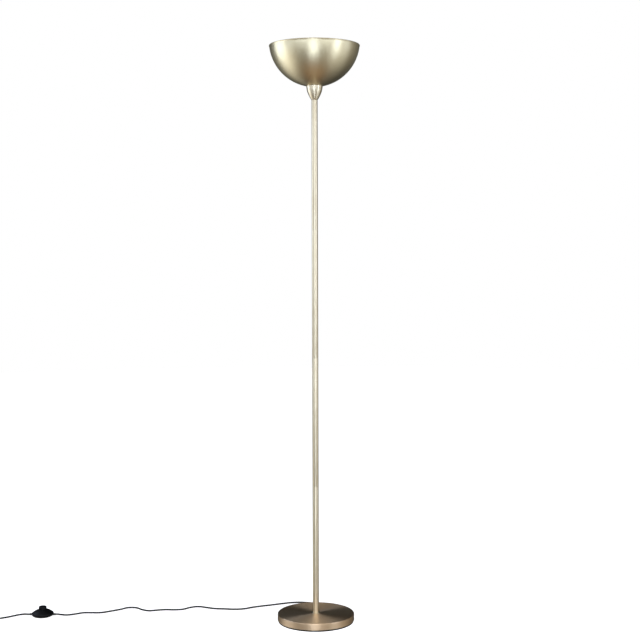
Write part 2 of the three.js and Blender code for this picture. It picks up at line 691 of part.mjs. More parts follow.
// A strap closed round the turns at one place.
function coilTie() {
  const strap = 0.8;
  const halfWidth = 3;
  const inner = COIL.turns[0] - FLEX.radius - 0.4;
  const outer = COIL.turns[2] + FLEX.radius + 0.4;
  const bottom = COIL.lift - GAP;
  const top = COIL.lift + 4 * FLEX.radius + GAP;
  const shape = outline([
    [inner - strap, bottom - strap], [outer + strap, bottom - strap],
    [outer + strap, top + strap], [inner - strap, top + strap],
  ]);
  const window = [[inner, bottom], [inner, top], [outer, top], [outer, bottom]];
  shape.holes.push(new THREE.Path(window.map(([x, y]) => new THREE.Vector2(x, y))));
  return raised(shape, -halfWidth, halfWidth).rotateX(Math.PI / 2).rotateZ(-Math.PI / 6);
}

// A moulded two-pin plug: a tapered body lying flat, with its cord sleeve behind and pins in front.
function plugBody() {
  const { width, depth, length, sleeve } = PLUG;
  const bevel = 2;
  const half = width / 2 - bevel;
  const neck = 5;
  const straight = 12;
  const shape = outline([
    [-half, 0], [half, 0], [half, straight], [neck, length], [-neck, length], [-half, straight],
  ]);
  const bevels = { bevelThickness: bevel, bevelSize: bevel, bevelSegments: 2 };
  const shell = new THREE.ExtrudeGeometry(shape, { depth: depth - 2 * bevel, ...bevels });
  const tail = turnedAlongY([
    [0, length - 6], [neck, length - 6], [neck, length + 5], [3.6, length + sleeve], [0, length + sleeve],
  ], ROUND.tiny);
  const cordHole = rod(FLEX.bore, length + sleeve - 8, length + sleeve + 2).rotateX(-Math.PI / 2);
  const pinHoles = [-PIN.spacing / 2, PIN.spacing / 2].map((x) => (
    rod(PIN.radius + GAP, -1, PIN.root + 0.5).rotateX(-Math.PI / 2).translate(x, 0, 0)
  ));
  return cut(join(shell.translate(0, bevel, bevel - depth / 2), tail), cordHole, ...pinHoles);
}

function plugPin() {
  const { radius, length, root } = PIN;
  return turnedAlongY([
    [0, -length], [radius * 0.6, -length], [radius, -length + 1.2], [radius, root], [0, root],
  ], ROUND.tiny);
}

function buildLead() {
  place(lamp, 'flex_to_switch', 'flex', floorFlex(TO_SWITCH));
  place(lamp, 'flex_to_coil', 'flex', floorFlex(TO_COIL));
  place(lamp, 'flex_coil', 'flex', coilSolid(), COIL.x, COIL.y);
  place(lamp, 'coil_tie', 'black', coilTie(), COIL.x, COIL.y);
  place(lamp, 'flex_to_plug', 'flex', floorFlex(TO_PLUG));
  const plug = new THREE.Group();
  plug.position.set(PLUG.x, PLUG.face, PLUG.depth / 2 + GAP);
  lamp.add(plug);
  place(plug, 'plug_body', 'black', plugBody());
  place(plug, 'plug_pin_left', 'nickel', plugPin(), -PIN.spacing / 2);
  place(plug, 'plug_pin_right', 'nickel', plugPin(), PIN.spacing / 2);
}

buildBase();
buildPole();
buildHead();
buildBulb();
buildSwitch();
buildLead();

export default lamp;
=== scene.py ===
"""Torchiere floor lamp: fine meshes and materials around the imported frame.

Metres, +Z up, the floor at z = 0 and the pole on the Z axis. The camera side of the lamp is -Y.
"""

import math

import bmesh
import bpy
from mathutils import Matrix, Vector


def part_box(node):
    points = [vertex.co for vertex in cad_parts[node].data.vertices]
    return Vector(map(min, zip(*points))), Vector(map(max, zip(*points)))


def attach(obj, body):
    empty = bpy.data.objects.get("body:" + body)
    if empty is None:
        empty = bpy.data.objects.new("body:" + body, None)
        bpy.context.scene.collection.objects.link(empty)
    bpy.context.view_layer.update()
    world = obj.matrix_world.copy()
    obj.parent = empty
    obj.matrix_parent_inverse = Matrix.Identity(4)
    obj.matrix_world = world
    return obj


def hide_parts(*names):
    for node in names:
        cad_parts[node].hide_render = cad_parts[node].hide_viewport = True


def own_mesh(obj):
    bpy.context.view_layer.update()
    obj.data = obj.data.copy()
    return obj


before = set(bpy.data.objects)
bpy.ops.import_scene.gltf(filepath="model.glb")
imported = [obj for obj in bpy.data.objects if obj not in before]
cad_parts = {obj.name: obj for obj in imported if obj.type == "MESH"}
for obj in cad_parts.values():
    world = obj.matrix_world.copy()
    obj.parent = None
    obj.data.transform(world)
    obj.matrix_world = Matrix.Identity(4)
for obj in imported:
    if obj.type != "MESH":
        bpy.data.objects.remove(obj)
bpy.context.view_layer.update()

TURN = 2 * math.pi
FINE, MEDIUM, SMALL = 160, 96, 48       # sides of a turned piece


# ---- shapes -------------------------------------------------------------------------------------

def arc(centre, radius, start, end, steps):
    """Points round a centre from one angle to another, in degrees."""
    angles = [math.radians(start + (end - start) * i / steps) for i in range(steps + 1)]
    return [(centre[0] + radius * math.cos(a), centre[1] + radius * math.sin(a)) for a in angles]


LONGEST_EASE = 0.48


def rounded(corners, steps=5):
    """An outline of (across, up, ease) corners, each eased over that length of both its sides.

    Neighbouring corners share a side, so neither takes more than LONGEST_EASE of it.
    """
    points = []
    for i, (across, up, ease) in enumerate(corners):
        here = Vector((across, up))
        if not ease:
            points.append(tuple(here))
            continue
        back = Vector(corners[i - 1][:2]) - here
        on = Vector(corners[(i + 1) % len(corners)][:2]) - here
        start = here + back.normalized() * min(ease, LONGEST_EASE * back.length)
        end = here + on.normalized() * min(ease, LONGEST_EASE * on.length)
        for k in range(steps + 1):
            s = k / steps
            points.append(tuple(start * (1 - s) ** 2 + here * 2 * s * (1 - s) + end * s ** 2))
    return points


def smooth(points, steps):
    """A Catmull-Rom curve through points of any dimension, with that many steps between two of them."""
    ends = [tuple(2 * a - b for a, b in zip(points[0], points[1]))]
    ends.append(tuple(2 * a - b for a, b in zip(points[-1], points[-2])))
    run = [ends[0], *points, ends[1]]
    curve = []
    for p0, p1, p2, p3 in zip(run, run[1:], run[2:], run[3:]):
        for k in range(steps):
            s = k / steps
            curve.append(tuple(
                0.5 * (2 * b + (c - a) * s + (2 * a - 5 * b + 4 * c - d) * s ** 2
                       + (3 * b - a - 3 * c + d) * s ** 3)
                for a, b, c, d in zip(p0, p1, p2, p3)))
    return [*curve, points[-1]]


SHARP_ANGLE = math.radians(40)          # edges that turn further are shaded as edges


def piece(name, bm, body, replaced, look):
    """Turns a bmesh into a smooth-shaded piece that rides on a body and stands for CAD nodes."""
    bmesh.ops.recalc_face_normals(bm, faces=bm.faces)
    mesh = bpy.data.meshes.new(name)
    bm.to_mesh(mesh)
    bm.free()
    mesh.shade_smooth()
    mesh.set_sharp_from_angle(angle=SHARP_ANGLE)
    made = bpy.data.objects.new(name, mesh)
    bpy.context.scene.collection.objects.link(made)
    mesh.materials.append(look)
    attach(made, body)
    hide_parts(*replaced)
    return made


def skin(bm, rings, closed=False):
    """Faces between neighbouring rings of vertices; a ring of one vertex is a pole."""
    pairs = list(zip(rings, rings[1:] + (rings[:1] if closed else [])))
    for low, high in pairs:
        count = max(len(low), len(high))
        for i in range(count if count > 1 else 0):
            corners = [low[i % len(low)], low[(i + 1) % len(low)],
                       high[(i + 1) % len(high)], high[i % len(high)]]
            bm.faces.new(list(dict.fromkeys(corners)))


NO_RADIUS = 1e-7                        # a profile point nearer the axis than this is on it
AIMS = {"X": Matrix.Rotation(TURN / 4, 4, "Y"), "Y": Matrix.Rotation(-TURN / 4, 4, "X"), "Z": Matrix()}


def turned(profile, sides=MEDIUM, centre=(0, 0, 0), axis="Z"):
    """A bmesh turned about an axis. The profile is (radius, along) points, closed or axis to axis."""
    bm = bmesh.new()
    rings = []
    for radius, along in profile:
        count = 1 if radius < NO_RADIUS else sides
        rings.append([
            bm.verts.new((radius * math.cos(TURN * i / count), radius * math.sin(TURN * i / count), along))
            for i in range(count)])
    skin(bm, rings, closed=profile[0][0] > NO_RADIUS)
    bmesh.ops.transform(bm, matrix=Matrix.Translation(centre) @ AIMS[axis], verts=bm.verts)
    return bm


def cut(bm, *tools):
    """The bmesh with closed tool bmeshes taken out of it."""
    made = []
    for source in (bm, *tools):
        bmesh.ops.recalc_face_normals(source, faces=source.faces)
        mesh = bpy.data.meshes.new("cutting")
        source.to_mesh(mesh)
        source.free()
        made.append(bpy.data.objects.new("cutting", mesh))
        bpy.context.scene.collection.objects.link(made[-1])
    for tool in made[1:]:
        modifier = made[0].modifiers.new("cut", "BOOLEAN")
        modifier.operation = "DIFFERENCE"
        modifier.object = tool
        modifier.solver = "EXACT"
    result = bmesh.new()
    result.from_mesh(made[0].evaluated_get(bpy.context.evaluated_depsgraph_get()).to_mesh())
    for item in made:
        bpy.data.meshes.remove(item.data)
    return result


# ---- materials ----------------------------------------------------------------------------------

def srgb(red, green, blue):
    """A colour given as 0-255 display values, in the shader's linear scale."""
    scaled = [value / 255 for value in (red, green, blue)]
    return tuple(v / 12.92 if v <= 0.04045 else ((v + 0.055) / 1.055) ** 2.4 for v in scaled)


def node(tree, kind, inputs=None, out=0, **settings):
    """Adds a shader node, sets or links its inputs, and returns one of its outputs."""
    made = tree.nodes.new("ShaderNode" + kind)
    for key, value in settings.items():
        setattr(made, key, value)
    for key, value in (inputs or {}).items():
        if isinstance(value, bpy.types.NodeSocket):
            tree.links.new(value, made.inputs[key])
        else:
            made.inputs[key].default_value = value
    return made.outputs[out]


def maths(tree, operation, a, b=0.0):
    return node(tree, "Math", {0: a, 1: b}, operation=operation)


def ranged(tree, value, low, high, start=0.0, end=1.0):
    """The value's stretch from start to end, mapped to low to high."""
    return node(tree, "MapRange", {"Value": value, "From Min": start, "From Max": end,
                                   "To Min": low, "To Max": high})


def noise(tree, scale, detail=3.0, stretch=(1, 1, 1)):
    """Fractal noise in the piece's own space, with scale in features per metre."""
    place = node(tree, "Mapping", {"Vector": node(tree, "TexCoord", out="Object"), "Scale": stretch})
    return node(tree, "TexNoise", {"Vector": place, "Scale": scale, "Detail": detail, "Roughness": 0.55})


ARC_BREAKS = 3.0                        # how often a brushed line changes, per radian round the axis


def spun(pitch):
    """Fine lines that run round the Z axis, as a lathe leaves them."""
    def pattern(tree):
        across = node(tree, "SeparateXYZ", {0: node(tree, "TexCoord", out="Object")})
        axes = across.node.outputs
        flat = node(tree, "CombineXYZ", {0: axes[0], 1: axes[1]})
        radius = node(tree, "VectorMath", {0: flat}, out=1, operation="LENGTH")
        angle = maths(tree, "ARCTAN2", axes[1], axes[0])
        lines = node(tree, "CombineXYZ", {
            0: maths(tree, "DIVIDE", radius, pitch),
            1: maths(tree, "MULTIPLY", angle, ARC_BREAKS),
            2: maths(tree, "DIVIDE", axes[2], pitch)})
        return node(tree, "TexNoise", {"Vector": lines, "Scale": 1.0, "Detail": 4.0, "Roughness": 0.7})
    return pattern


def speckled(scale, detail=4.0, stretch=(1, 1, 1)):
    """Grain with that many features per metre."""
    return lambda tree: noise(tree, scale, detail, stretch)


MIX_A, MIX_B, MIX_RESULT = 6, 7, 2       # the colour sockets of a Mix node
FINE_SHARE = 0.65                       # of the fine pattern in a surface's roughness


def look(name, colours, roughness, pattern, relief, blotches=14.0, wear_and_highlight=None, tangent=None, **constants):
    """A procedural material.

    colours: its two tones, mixed by broad blotches. roughness: (low, high), set by the fine pattern.
    relief: the pattern's depth in metres. wear_and_highlight: the tone of the edges, rubbed wear and on
    brass also a painted highlight. constants: shader sockets.
    """
    material = bpy.data.materials.new(name)
    material.use_nodes = True
    tree = material.node_tree
    shader = tree.nodes["Principled BSDF"]
    fine = pattern(tree)
    broad = noise(tree, blotches, 2.0)
    tone = node(tree, "Mix", {"Factor": ranged(tree, broad, 0, 1, 0.3, 0.7), MIX_A: (*colours[0], 1),
                              MIX_B: (*colours[1], 1)}, out=MIX_RESULT, data_type="RGBA")
    # Raised edges are painted a paler tone. This is rubbed wear, and on brass it is also a painted
    # highlight along the edges.
    if wear_and_highlight:            # pointiness is 0.5 on a flat surface and rises on raised edges
        edge = ranged(tree, node(tree, "NewGeometry", out="Pointiness"), 0, 0.55, 0.53, 0.62)
        wear_and_highlight_mask = maths(tree, "MULTIPLY", edge, ranged(tree, fine, 0.3, 1, 0.3, 0.7))
        tone = node(tree, "Mix", {"Factor": wear_and_highlight_mask, MIX_A: tone, MIX_B: (*wear_and_highlight, 1)}, out=MIX_RESULT,
                    data_type="RGBA")
    mixed = maths(tree, "ADD", maths(tree, "MULTIPLY", fine, FINE_SHARE),
                  maths(tree, "MULTIPLY", broad, 1 - FINE_SHARE))
    tree.links.new(tone, shader.inputs["Base Color"])
    tree.links.new(ranged(tree, mixed, *roughness, 0.3, 0.7), shader.inputs["Roughness"])
    tree.links.new(node(tree, "Bump", {"Height": fine, "Distance": relief, "Strength": 0.5}),
                   shader.inputs["Normal"])
    if tangent:
        tree.links.new(node(tree, "Tangent", direction_type="RADIAL", axis=tangent),
                       shader.inputs["Tangent"])
    for key, value in constants.items():
        shader.inputs[key.replace("_", " ")].default_value = value
    return material


# Pale brass for the rounded edges: partly rubbed wear, partly a painted highlight where light would catch
# the edge.
BRASS_WEAR_AND_HIGHLIGHT = srgb(244, 234, 212)


def brass(name, tones, pitch, relief, roughness, anisotropy):
    """Satin brass with circular brushing, so that its highlights run along the profile."""
    return look(name, tones, roughness, spun(pitch), relief, wear_and_highlight=BRASS_WEAR_AND_HIGHLIGHT, tangent="Z",
                Metallic=1.0, Anisotropic=anisotropy, Anisotropic_Rotation=0.25)


LOOKS = {
    "bowl": brass("bowl_brass", [srgb(231, 221, 188), srgb(223, 211, 175)],
                  0.0009, 0.00003, (0.36, 0.43), 0.65),
    "pole": brass("pole_brass", [srgb(231, 219, 192), srgb(224, 210, 180)],
                  0.0011, 0.00002, (0.34, 0.42), 0.85),
    "base": brass("base_brass", [srgb(233, 206, 172), srgb(225, 195, 159)],
                  0.0008, 0.00003, (0.42, 0.5), 0.82),
    "steel": look("zinc_plated_steel", [srgb(190, 192, 190), srgb(168, 171, 172)], (0.28, 0.48),
                  speckled(900), 0.00003, blotches=60.0, Metallic=1.0),
    "iron": look("cast_iron", [srgb(62, 60, 58), srgb(48, 46, 45)], (0.6, 0.85), speckled(700, 6.0),
                 0.0002, blotches=40.0, Metallic=0.7),
    "rubber": look("black_rubber", [srgb(27, 27, 28), srgb(35, 34, 34)], (0.62, 0.8), speckled(1600),
                   0.00005, blotches=50.0, wear_and_highlight=srgb(60, 59, 58)),
    "switch": look("switch_plastic", [srgb(3, 3, 6), srgb(5, 5, 9)], (0.42, 0.56), speckled(2600),
                   0.00004, blotches=60.0, wear_and_highlight=srgb(16, 16, 22), Specular_IOR_Level=0.2),
    "plug": look("plug_plastic", [srgb(24, 24, 26), srgb(30, 30, 32)], (0.42, 0.58), speckled(2400),
                 0.00004, blotches=60.0, wear_and_highlight=srgb(56, 56, 58)),
    "flex": look("flex_pvc", [srgb(25, 24, 24), srgb(33, 31, 30)], (0.42, 0.58),
                 speckled(1500, 4.0, (0.25, 1, 1)), 0.00004, blotches=26.0),
    "holder": look("holder_plastic", [srgb(30, 29, 28), srgb(38, 36, 35)], (0.3, 0.44), speckled(1500),
                   0.00003, blotches=60.0, wear_and_highlight=srgb(70, 68, 66)),
    "ceramic": look("holder_core", [srgb(226, 222, 212), srgb(214, 209, 198)], (0.45, 0.62),
                    speckled(900), 0.00003, blotches=60.0),
    "contact": look("contact_brass", [srgb(206, 178, 112), srgb(190, 160, 96)], (0.22, 0.4),
                    speckled(1200), 0.00002, blotches=90.0, Metallic=1.0),
    "opal": look("opal_glass", [srgb(247, 245, 240), srgb(240, 238, 232)], (0.16, 0.24), speckled(400),
                 0.00001, blotches=30.0, Subsurface_Weight=0.35, Subsurface_Scale=0.006, Coat_Weight=0.4,
                 Coat_Roughness=0.05),
    "stem": look("bulb_inner", [srgb(216, 212, 200), srgb(204, 199, 186)], (0.45, 0.6), speckled(900),
                 0.00003, blotches=60.0),
    "insulator": look("bulb_insulator", [srgb(26, 24, 30), srgb(34, 31, 38)], (0.12, 0.25),
                      speckled(900), 0.00003, blotches=90.0, Coat_Weight=0.5),
    "nickel": look("nickel_plating", [srgb(205, 203, 196), srgb(190, 188, 181)], (0.16, 0.32),
                   speckled(1100, 4.0, (1, 1, 0.3)), 0.00002, blotches=70.0, Metallic=1.0),
    "nylon": look("nylon", [srgb(222, 217, 203), srgb(212, 206, 190)], (0.4, 0.55), speckled(1200),
                  0.00003, blotches=60.0, Subsurface_Weight=0.1, Subsurface_Scale=0.002),
}


# ---- camera -------------------------------------------------------------------------------------

EYE = Vector((0.0156, -3.80, 1.116))
LENS = 69.16                            # in millimetres
SHIFT = -0.0945                         # of the level view downwards, in picture widths
ROLL = math.radians(-0.16)


def make_camera():
    """A level camera in front of the lamp, at the photograph's height and angle."""
    data = bpy.data.cameras.new("camera")
    data.lens = LENS
    data.shift_y = SHIFT
    data.clip_end = 60
    camera = bpy.data.objects.new("camera", data)
    bpy.context.scene.collection.objects.link(camera)
    camera.matrix_world = (Matrix.Translation(EYE) @ Matrix.Rotation(TURN / 4, 4, "X")
                           @ Matrix.Rotation(ROLL, 4, "Z"))
    bpy.context.scene.camera = camera


# ---- the lead -----------------------------------------------------------------------------------

FLEX_RADIUS = 0.0026
FLEX_BORE = 0.0029                      # of the sleeves round the lead
ON_FLOOR = 0.0028                       # height of the lead's axis where it lies on the floor
GLAND_HEIGHT = 0.010
SWITCH_HEIGHT = 0.0052
COIL_CENTRE = (-1.045, -0.0183)
COIL_INNER, COIL_OUTER = 0.0208, 0.0312
COIL_LAYERS = (0.0038, 0.0090)

# From the gland behind the base, round to the left and along the floor to the switch.
TO_SWITCH = [
    (0, 0.1183, GLAND_HEIGHT), (0, 0.132, GLAND_HEIGHT), (0, 0.146, GLAND_HEIGHT),
    (-0.0002, 0.153, 0.0096), (-0.003, 0.166, 0.0072), (-0.013, 0.181, 0.004), (-0.031, 0.191, ON_FLOOR),
    (-0.057, 0.194, ON_FLOOR), (-0.086, 0.189, ON_FLOOR), (-0.114, 0.178, ON_FLOOR),
    (-0.145, 0.164, ON_FLOOR), (-0.175, 0.152, ON_FLOOR), (-0.204, 0.138, ON_FLOOR),
    (-0.232, 0.121, ON_FLOOR), (-0.260, 0.117, ON_FLOOR), (-0.292, 0.121, ON_FLOOR),
    (-0.326, 0.126, ON_FLOOR), (-0.354, 0.139, ON_FLOOR), (-0.379, 0.148, ON_FLOOR),
    (-0.402, 0.139, ON_FLOOR), (-0.425, 0.118, ON_FLOOR), (-0.452, 0.113, ON_FLOOR),
    (-0.480, 0.115, ON_FLOOR), (-0.506, 0.109, ON_FLOOR), (-0.530, 0.103, ON_FLOOR),
    (-0.552, 0.114, ON_FLOOR), (-0.575, 0.136, ON_FLOOR), (-0.599, 0.139, ON_FLOOR),
    (-0.624, 0.119, ON_FLOOR), (-0.651, 0.100, ON_FLOOR), (-0.680, 0.084, ON_FLOOR),
    (-0.707, 0.083, ON_FLOOR), (-0.733, 0.083, ON_FLOOR), (-0.758, 0.069, ON_FLOOR),
    (-0.782, 0.058, 0.0031), (-0.799, 0.0585, 0.0042), (-0.812, 0.060, 0.0051),
    (-0.8184, 0.060, SWITCH_HEIGHT), (-0.828, 0.060, SWITCH_HEIGHT), (-0.8407, 0.060, SWITCH_HEIGHT),
]

# From the switch to where the lead runs into the coil.
TO_COIL = [
    (-0.8753, 0.060, SWITCH_HEIGHT), (-0.888, 0.060, SWITCH_HEIGHT), (-0.8976, 0.060, SWITCH_HEIGHT),
    (-0.904, 0.0601, 0.0051), (-0.918, 0.0635, 0.0043), (-0.932, 0.0615, 0.0032), (-0.948, 0.050, ON_FLOOR),
    (-0.965, 0.036, ON_FLOOR), (-0.985, 0.0225, 0.0031), (-1.006, 0.0142, 0.0036), (-1.025, 0.0129, 0.0038),
]

# From the top of the coil down to the plug.
TO_PLUG = [
    (-1.0762, -0.0383, 0.0088), (-1.0762, -0.0473, 0.0081), (-1.0762, -0.0553, 0.0074),
    (-1.0762, -0.060, 0.0071), (-1.0762, -0.066, 0.0071),
]


def ease(value):
    """From 0 to 1 with no jerk at either end; values outside are held at the ends."""
    value = min(1.0, max(0.0, value))
    return value * value * (3 - 2 * value)


def coil_winding():
    """A spiral inwards on the floor, a climb at its middle, and a spiral outwards on top of it.

    The lead comes in at the +Y side and leaves at the -X side, heading for -Y. The winding is last
    degrees long in all, with a point each step degrees, and it climbs over the middle climb degrees.
    """
    pitch, last, step, climb = 0.0053, 1530, 18, 140
    inward = 360 * (COIL_OUTER - COIL_INNER) / pitch
    points = []
    for degrees in range(0, last + 1, step):
        out = max(inward - degrees, 0, degrees - (last - inward)) / 360
        radius = COIL_INNER + pitch * out
        share = ease((degrees - (last - climb) / 2) / climb)
        height = COIL_LAYERS[0] + (COIL_LAYERS[1] - COIL_LAYERS[0]) * share
        angle = math.radians(90 + degrees)
        points.append((COIL_CENTRE[0] + radius * math.cos(angle),
                       COIL_CENTRE[1] + radius * math.sin(angle), height))
    return points


def lead(name, points, replaced):
    """A round flexible lead along one smooth curve through the points."""
    data = bpy.data.curves.new(name, "CURVE")
    data.dimensions = "3D"
    data.resolution_u = 6
    data.bevel_depth = FLEX_RADIUS
    data.bevel_resolution = 5
    data.use_fill_caps = True
    spline = data.splines.new("BEZIER")
    spline.bezier_points.add(len(points) - 1)
    for knot, point in zip(spline.bezier_points, points):
        knot.co = point
        knot.handle_left_type = knot.handle_right_type = "AUTO"
    data.materials.append(LOOKS["flex"])
    made = bpy.data.objects.new(name, data)
    bpy.context.scene.collection.objects.link(made)
    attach(made, "root")
    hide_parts(*replaced)
    return made


make_camera()
lead_to_switch = lead("lead_to_switch", TO_SWITCH, ["flex_to_switch"])
lead_to_plug = lead("lead_to_plug", [*TO_COIL, *coil_winding(), *TO_PLUG],
                    ["flex_to_coil", "flex_coil", "flex_to_plug"])


# ---- base ---------------------------------------------------------------------------------------

SHEET = 0.0012                          # thickness of the base cover's sheet
POLE_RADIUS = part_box("pole_section_2")[1].x


def gland_sleeve():
    """Collar and tapered sleeve with ring grooves, out of the back of the base along +Y."""
    low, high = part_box("cord_gland")
    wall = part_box("base_cover")[1].x
    bore = FLEX_BORE
    grooves, first, pitch = 6, wall + 0.0052, 0.0034
    outline = [(bore, low.y, 0), (0.0051, low.y, 0.0002), (0.0051, low.y + 0.0016, 0.0002),
               (0.004, low.y + 0.0016, 0), (0.004, wall + 0.0004, 0), (0.0058, wall + 0.0004, 0.0003),
               (0.0058, wall + 0.0024, 0.0006)]
    for i in range(grooves):
        start = first + pitch * i
        radius = 0.0049 - 0.0002 * i
        outline += [(radius, start - 0.0009, 0.0003), (radius - 0.0007, start, 0.0003),
                    (radius - 0.0007, start + 0.0009, 0.0003), (radius - 0.0001, start + 0.0016, 0.0003)]
    outline += [(0.0035, high.y, 0.0003), (bore, high.y, 0)]
    return turned(rounded(outline, 3), SMALL, (0, 0, GLAND_HEIGHT), "Y")


def base_cover():
    """A spun sheet cover with a hole for the pole's foot and one at the back for the lead."""
    low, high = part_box("base_cover")
    corner = 0.003
    hole = POLE_RADIUS + 0.0005
    lead_hole, half = 0.0044, 0.006
    shell = turned(rounded([
        (high.x, low.z, 0.0003), (high.x, high.z, corner), (hole, high.z, 0.0003),
        (hole, high.z - SHEET, 0), (high.x - SHEET, high.z - SHEET, corner - SHEET),
        (high.x - SHEET, low.z, 0.0002)], 8), FINE)
    hole_tool = turned([(0, -half), (lead_hole, -half), (lead_hole, half), (0, half)], SMALL,
                       (0, high.x, GLAND_HEIGHT), "Y")
    return cut(shell, hole_tool)


def base_pad():
    """The pad that closes the base from below: a raised middle, a foot and a lip inside the cover."""
    low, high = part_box("base_pad")
    bottom, top = 0.0016, 0.0032
    return turned(rounded([
        (0, bottom, 0), (0.100, bottom, 0.0004), (0.101, low.z, 0.0006), (high.x - 0.0005, low.z, 0.0005),
        (high.x, 0.0008, 0.0006), (high.x, high.z, 0.0003), (0.108, high.z, 0.0003), (0.1067, top, 0.0003),
        (0, top, 0)], 4), FINE)


def foot_ring():
    """The ring round the pole where it meets the base."""
    low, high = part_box("foot_ring")
    inner = POLE_RADIUS + 0.0002
    return turned(rounded([
        (inner, low.z, 0), (high.x, low.z, 0.0002), (high.x, high.z, 0.0009), (inner, high.z, 0.0002)], 6))


piece("base_disc", base_cover(), "root", ["base_cover"], LOOKS["base"])
piece("floor_pad", base_pad(), "root", ["base_pad"], LOOKS["rubber"])
piece("collar_ring", foot_ring(), "root", ["foot_ring"], LOOKS["pole"])
gland = piece("gland_sleeve", gland_sleeve(), "root", ["cord_gland"], LOOKS["rubber"])


# ---- pole ---------------------------------------------------------------------------------------

def pole_tube(index):
    """One length of the pole, with eased ends that show as a fine seam."""
    low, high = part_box(f"pole_section_{index}")
    bore = POLE_RADIUS - 0.001
    edge = 0.0003
    return turned(rounded([
        (bore, low.z, 0), (POLE_RADIUS, low.z, edge), (POLE_RADIUS, high.z, edge), (bore, high.z, 0)], 3))


for number in range(1, 5):
    piece(f"pole_tube_{number}", pole_tube(number), "root", [f"pole_section_{number}"],
          LOOKS["pole"])


# ---- head ---------------------------------------------------------------------------------------

THREAD_HOLE = 0.0053


def bowl():
    """A spun sphere segment with a rolled bead at its rim."""
    low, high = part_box("bowl_shade")
    wall, bead = 0.001, 0.0013
    rim = high.z - bead
    depth, width = rim - low.z, high.x - bead
    radius = (width ** 2 + depth ** 2) / (2 * depth - wall)     # of the sphere through rim and bottom
    centre = (0, low.z + math.sqrt(radius ** 2 - THREAD_HOLE ** 2))
    rim_angle = math.degrees(math.asin((rim - 0.0015 - centre[1]) / radius))

    def hole_angle(sphere):
        return -math.degrees(math.acos(THREAD_HOLE / sphere))

    return turned([
        *arc(centre, radius, hole_angle(radius), rim_angle, 56),
        *arc((width, rim), bead, -50, 215, 16),
        *arc(centre, radius - wall, rim_angle, hole_angle(radius - wall), 40)], FINE)


def cup():
    """A slim tulip shape between the pole and the bowl."""
    low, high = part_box("shade_cup")
    wall = 0.0013
    flare = [(POLE_RADIUS, 0.0), (0.0116, 0.0027), (0.0159, 0.010), (0.0208, 0.0208), (0.0237, 0.030),
             (high.x, high.z - low.z)]
    outer = [(r, low.z + h) for r, h in smooth(flare, 8)]
    inner = [(r - wall - 0.0002, z) for r, z in outer[12:-1]]
    return turned([*outer, (high.x - 0.3 * wall, high.z), (high.x - wall, high.z - 0.0003),
                   *reversed(inner), (THREAD_HOLE, low.z + 0.0032), (THREAD_HOLE, low.z)])


def holder_cap():
    """The holder's rear cap, widening from the threaded tube to the skirt."""
    low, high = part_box("lampholder_cap")
    return turned(rounded([
        (THREAD_HOLE, low.z, 0), (0.0085, low.z, 0.0005), (0.009, low.z + 0.003, 0.001),
        (0.0165, low.z + 0.0065, 0.003), (0.0195, low.z + 0.011, 0.002), (0.0195, high.z, 0.0002),
        (0.0175, high.z, 0), (0.0175, high.z - 0.002, 0), (0.0155, low.z + 0.009, 0.001),
        (THREAD_HOLE, low.z + 0.006, 0)], 6))


def holder_skirt():
    """The holder's front sleeve, with raised rings as grips for a shade ring."""
    low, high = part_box("lampholder_skirt")
    rings, pitch, first = 6, 0.0026, low.z + 0.005
    outline = [(0.0174, low.z, 0), (high.x, low.z, 0.0004), (high.x, first - 0.002, 0.0004)]
    for i in range(rings):
        start = first + pitch * i
        outline += [(high.x - 0.0008, start, 0.0003), (high.x, start + 0.0009, 0.0003),
                    (high.x, start + 0.0013, 0.0003)]
    outline += [(high.x - 0.0006, high.z - 0.004, 0.0004), (high.x - 0.0014, high.z, 0.0008),
                (0.016, high.z, 0.0004), (0.016, high.z - 0.003, 0.0003), (0.0174, high.z - 0.004, 0)]
    return turned(rounded(outline, 3))


def washer():
    """The flat washer that clamps the bowl from inside."""
    low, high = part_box("bowl_washer")
    return turned(rounded([(THREAD_HOLE, low.z, 0), (high.x, low.z, 0.0003), (high.x, high.z, 0.0003),
                           (THREAD_HOLE, high.z, 0.0002)], 3), SMALL)


piece("spun_bowl", bowl(), "root", ["bowl_shade"], LOOKS["bowl"])
piece("tulip_cup", cup(), "root", ["shade_cup"], LOOKS["pole"])
piece("holder_cap", holder_cap(), "root", ["lampholder_cap"], LOOKS["holder"])
piece("holder_skirt", holder_skirt(), "root", ["lampholder_skirt"], LOOKS["holder"])
piece("clamp_washer", washer(), "root", ["bowl_washer"], LOOKS["steel"])


# ---- bulb ---------------------------------------------------------------------------------------

def bulb_glass():
    """A hollow envelope: a sphere that runs down into a narrow neck."""
    low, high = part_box("bulb_glass")
    radius = high.x
    centre = (0, high.z - radius)
    wall = 0.001
    flank = [(0.0112, low.z), (0.0112, low.z + 0.007), (0.0136, low.z + 0.014), (0.0185, low.z + 0.026),
             (0.0246, low.z + 0.0395)]
    outer = [*smooth([*flank, arc(centre, radius, -12, -4, 1)[0]], 8), *arc(centre, radius, -10, 90, 24)]
    inner = [(max(r - wall, 0), min(z, high.z - wall)) for r, z in outer]
    return turned([*outer[:-1], (0, high.z), (0, high.z - wall), *reversed(inner[:-1])])


